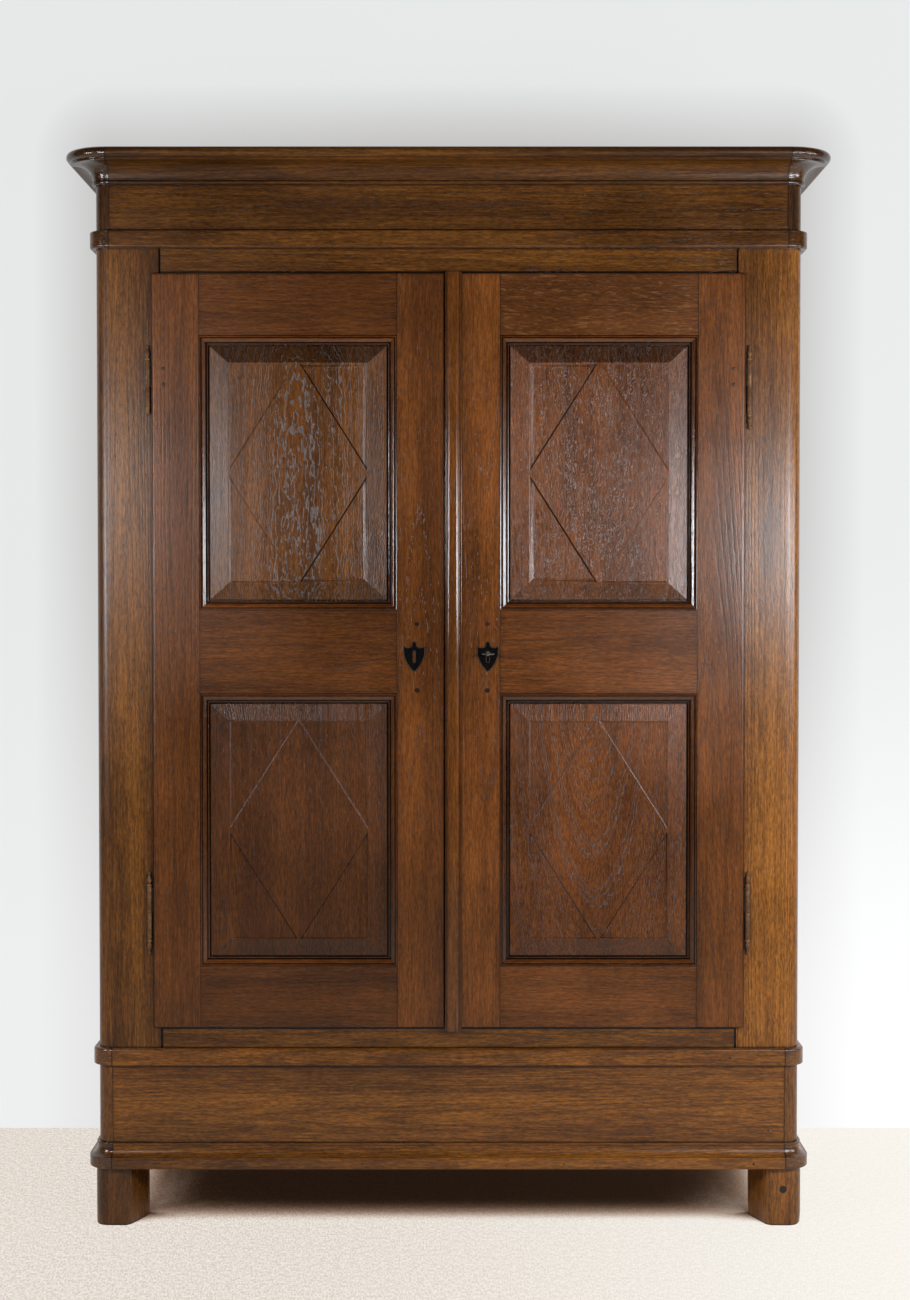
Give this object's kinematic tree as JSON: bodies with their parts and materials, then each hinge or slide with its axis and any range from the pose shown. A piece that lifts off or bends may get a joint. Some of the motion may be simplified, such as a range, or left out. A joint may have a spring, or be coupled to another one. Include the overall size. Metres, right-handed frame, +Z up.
{
  "type": "kas cupboard",
  "caption": "Tall oak cupboard with a hollow-moulded crown, panelled lipped doors with lozenge fields, half-round cover strip, plinth and block feet.",
  "frame": {"origin": "centre of the footprint on the floor, at the bottom of the feet", "axes": "+Z up, +Y towards the back, +X to the right when facing the doors"},
  "size_m": [1.499, 0.5774, 2.109],
  "materials": {
    "door_oak": "waxed dark red-brown oak, satin",
    "carcass_oak": "waxed golden-brown oak, satin",
    "panel_oak": "waxed figured dark oak, satin",
    "inner_wood": "dry unwaxed oak and pine",
    "aged_brass": "dull aged brass",
    "black_iron": "blackened iron, worn edges",
    "bare_iron": "dull bare iron"
  },
  "bodies": {
    "carcass": {"back_boards": "inner_wood", "base_band_corners": "carcass_oak", "base_band_front": "carcass_oak", "base_band_returns": "carcass_oak", "base_moulding_corners": "carcass_oak", "base_moulding_front": "carcass_oak", "base_moulding_returns": "carcass_oak", "ceiling_boards": "inner_wood", "crown_corners": "carcass_oak", "crown_front": "carcass_oak", "crown_returns": "carcass_oak", "feet_rear": "carcass_oak", "floor_boards": "inner_wood", "foot_front_left": "carcass_oak", "foot_front_right": "carcass_oak", "frieze_board_front": "carcass_oak", "frieze_boards_side_and_rear": "carcass_oak", "frieze_corner_blocks": "carcass_oak", "front_post_left": "carcass_oak", "front_post_right": "carcass_oak", "front_rail_bottom": "carcass_oak", "front_rail_top": "carcass_oak", "hinge_pintles": "aged_brass", "plinth_board_front": "carcass_oak", "plinth_boards_side_and_rear": "carcass_oak", "plinth_corner_blocks": "carcass_oak", "rear_posts": "inner_wood", "rear_rails": "inner_wood", "shelf_cleats": "inner_wood", "shelves": "inner_wood", "side_panels": "carcass_oak", "side_rails": "carcass_oak", "top_band_corners": "carcass_oak", "top_band_front": "carcass_oak", "top_band_returns": "carcass_oak"},
    "left_door": {"left_escutcheon": "black_iron", "left_hinge_sleeves": "aged_brass", "left_hinge_stile": "door_oak", "left_lower_panel": "panel_oak", "left_meeting_stile": "door_oak", "left_panel_mouldings": "door_oak", "left_rails": "door_oak", "left_upper_panel": "panel_oak", "bolt_guides": "bare_iron", "strike_plate": "bare_iron"},
    "right_door": {"right_escutcheon": "black_iron", "right_hinge_sleeves": "aged_brass", "right_hinge_stile": "door_oak", "right_lower_panel": "panel_oak", "right_meeting_stile": "door_oak", "right_panel_mouldings": "door_oak", "right_rails": "door_oak", "right_upper_panel": "panel_oak", "cover_strip": "door_oak", "lock_case": "bare_iron"},
    "upper_bolt": {"upper_bolt": "bare_iron"},
    "lower_bolt": {"lower_bolt": "bare_iron"},
    "lock_bolt": {"lock_bolt": "bare_iron"},
    "key": {"key": "bare_iron"}
  },
  "joints": [
    {"name": "left_door_hinge", "type": "hinge", "parent": "carcass", "child": "left_door", "pos_m": [-0.588, -0.23625, 1.65], "axis": [0, 0, -1], "range_deg": [0, 165]},
    {"name": "right_door_hinge", "type": "hinge", "parent": "carcass", "child": "right_door", "pos_m": [0.588, -0.23625, 1.65], "axis": [0, 0, 1], "range_deg": [0, 165]},
    {"name": "key_turn", "type": "hinge", "parent": "right_door", "child": "key", "pos_m": [0.077, -0.24175, 1.1295], "axis": [0, -1, 0], "range_deg": [-90, 270]},
    {"name": "lock_bolt_throw", "type": "slide", "parent": "right_door", "child": "lock_bolt", "axis": [-1, 0, 0], "range_m": [-0.004, 0.012]},
    {"name": "upper_bolt_slide", "type": "slide", "parent": "left_door", "child": "upper_bolt", "axis": [0, 0, 1], "range_m": [0, 0.02]},
    {"name": "lower_bolt_slide", "type": "slide", "parent": "left_door", "child": "lower_bolt", "axis": [0, 0, -1], "range_m": [0, 0.02]}
  ],
  "couplings": [
    {"joint": "key_turn", "follows": "lock_bolt_throw", "rad_per_m": 392.7}
  ]
}
